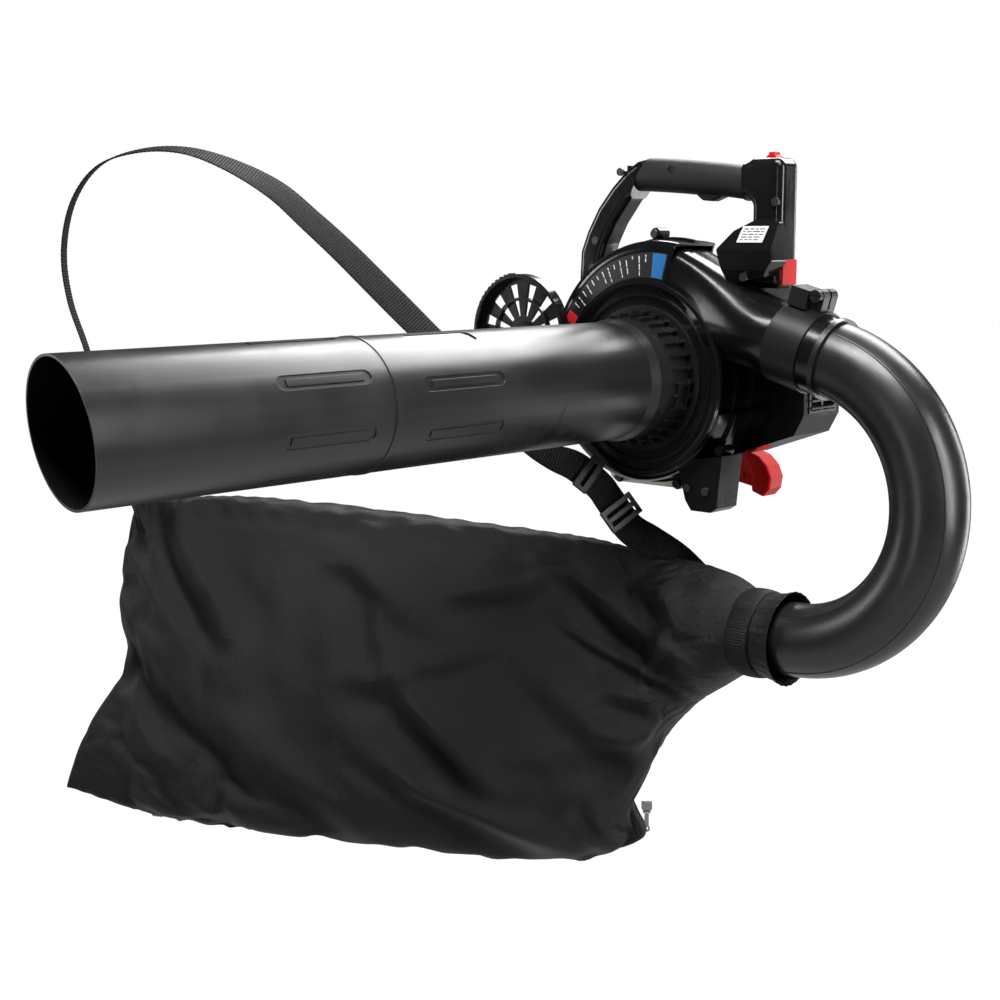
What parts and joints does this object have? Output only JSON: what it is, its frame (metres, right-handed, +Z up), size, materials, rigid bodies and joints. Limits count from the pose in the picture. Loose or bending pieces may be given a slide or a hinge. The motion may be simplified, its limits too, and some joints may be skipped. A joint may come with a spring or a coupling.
{
  "type": "leaf blower",
  "caption": "Hand-held petrol leaf blower set up as a vacuum, with a two-piece intake tube, curved outlet tube, cloth debris bag and shoulder strap.",
  "frame": {"origin": "middle of the hand grip, where the tool is held", "axes": "+Z up, -Y along the vacuum tubes towards their open mouth, +X towards the outlet side; the fan and crankshaft turn about Y"},
  "size_m": [0.8802, 0.9466, 0.8275],
  "materials": {
    "gloss_black": "glossy moulded black housing",
    "satin_black": "satin black moulding",
    "tube_plastic": "blow-moulded polyethylene with a soft sheen",
    "grip_rubber": "fine textured soft grip",
    "bag_cloth": "coarse woven polyester",
    "strap_web": "ribbed webbing",
    "red_plastic": "red moulding",
    "steel": "plated steel",
    "black_steel": "blackened steel screws",
    "cast_aluminium": "die cast",
    "tank_plastic": "translucent white polyethylene",
    "foam": "open foam",
    "primer_rubber": "soft clear red rubber",
    "hose_rubber": "fuel hose",
    "rope": "braided cord"
  },
  "bodies": {
    "frame": {"volute_front_shell": "gloss_black", "volute_rear_shell": "gloss_black", "shell_screws": "black_steel", "inlet_collar": "satin_black", "door_hinge_ears": "gloss_black", "door_hinge_pin": "steel", "elbow_tube": "tube_plastic", "duct_clamp": "satin_black", "debris_bag": "bag_cloth", "zip_slider": "steel", "shoulder_strap": "strap_web", "strap_slider": "satin_black", "strap_buckle": "satin_black", "front_bearing": "steel", "rear_bearing": "steel", "crankcase": "cast_aluminium", "cylinder_block": "cast_aluminium", "piston": "cast_aluminium", "connecting_rod": "steel", "spark_plug": "steel", "spark_boot": "hose_rubber", "ignition_module": "satin_black", "recoil_spring": "steel", "starter_housing": "gloss_black", "engine_shroud": "gloss_black", "muffler": "steel", "muffler_guard": "satin_black", "carburetor": "cast_aluminium", "air_filter_base": "satin_black", "air_filter_foam": "foam", "air_filter_cover": "gloss_black", "control_plate": "satin_black", "fuel_tank": "tank_plastic", "fuel_line": "hose_rubber", "handle_left_half": "gloss_black", "handle_right_half": "gloss_black", "grip_sleeve": "grip_rubber", "trigger_pin": "steel", "handle_insert": "red_plastic", "handle_screws": "black_steel", "foot_bracket": "gloss_black", "foot_screws": "black_steel"},
    "rotor": {"impeller": "satin_black", "impeller_bolt": "steel", "crankshaft": "steel", "flywheel": "cast_aluminium"},
    "pulley": {"starter_pulley": "satin_black"},
    "starter_handle": {"starter_grip": "red_plastic", "starter_rope": "rope"},
    "inlet_guard": {"inlet_door": "gloss_black"},
    "vacuum_tubes": {"vac_tube_upper": "tube_plastic", "vac_tube_lower": "tube_plastic"},
    "throttle": {"throttle_trigger": "satin_black"},
    "stop_rocker": {"stop_switch": "red_plastic"},
    "choke": {"choke_lever": "red_plastic"},
    "primer": {"primer_bulb": "primer_rubber"},
    "tank_cap": {"fuel_cap": "satin_black"},
    "clamp_knob": {"clamp_screw": "satin_black"},
    "zip_tab": {"zip_pull": "steel"}
  },
  "joints": [
    {"name": "fan_spin", "type": "hinge", "parent": "frame", "child": "rotor", "pos_m": [-0.02, -0.017, -0.217], "axis": [0, 1, 0], "continuous": true},
    {"name": "starter_pull", "type": "slide", "parent": "frame", "child": "starter_handle", "axis": [0.4924, 0, -0.8704], "range_m": [0, 0.5]},
    {"name": "pulley_spin", "type": "hinge", "parent": "frame", "child": "pulley", "pos_m": [-0.02, 0.112, -0.217], "axis": [0, 1, 0], "range_deg": [-900, 0]},
    {"name": "inlet_door_hinge", "type": "hinge", "parent": "frame", "child": "inlet_guard", "pos_m": [-0.10098, -0.064, -0.19469], "axis": [-0.2656, 0, -0.9641], "range_deg": [-25, 0]},
    {"name": "vac_tube_twist", "type": "hinge", "parent": "frame", "child": "vacuum_tubes", "pos_m": [-0.02, -0.517, -0.217], "axis": [0, 1, 0], "range_deg": [0, 20]},
    {"name": "throttle_pull", "type": "hinge", "parent": "frame", "child": "throttle", "pos_m": [0.077, 0, -0.006], "axis": [0, 1, 0], "range_deg": [0, 9], "stiffness_Nm_per_rad": 1.2, "springref_deg": -8.59},
    {"name": "stop_rock", "type": "hinge", "parent": "frame", "child": "stop_rocker", "pos_m": [0.116, 0, 0.015], "axis": [0, 1, 0], "range_deg": [0, 14]},
    {"name": "choke_turn", "type": "hinge", "parent": "frame", "child": "choke", "pos_m": [0.08, 0.096, -0.151], "axis": [0, 1, 0], "range_deg": [-40, 0]},
    {"name": "primer_push", "type": "slide", "parent": "frame", "child": "primer", "axis": [0, -1, 0], "range_m": [0, 0.0035], "stiffness_N_per_m": 800},
    {"name": "cap_turn", "type": "hinge", "parent": "frame", "child": "tank_cap", "pos_m": [-0.125, 0.067, -0.315], "axis": [-1, 0, 0], "range_deg": [0, 350]},
    {"name": "clamp_turn", "type": "hinge", "parent": "frame", "child": "clamp_knob", "pos_m": [0.19314, -0.017, -0.12311], "axis": [0, 1, 0], "range_deg": [-360, 360]},
    {"name": "zip_tab_swing", "type": "hinge", "parent": "frame", "child": "zip_tab", "pos_m": [-0.02444, -0.02102, -0.724], "axis": [0.7413, 0.6712, 0], "range_deg": [-60, 60]}
  ],
  "couplings": [
    {"joint": "pulley_spin", "follows": "starter_pull", "rad_per_m": -31.25}
  ]
}
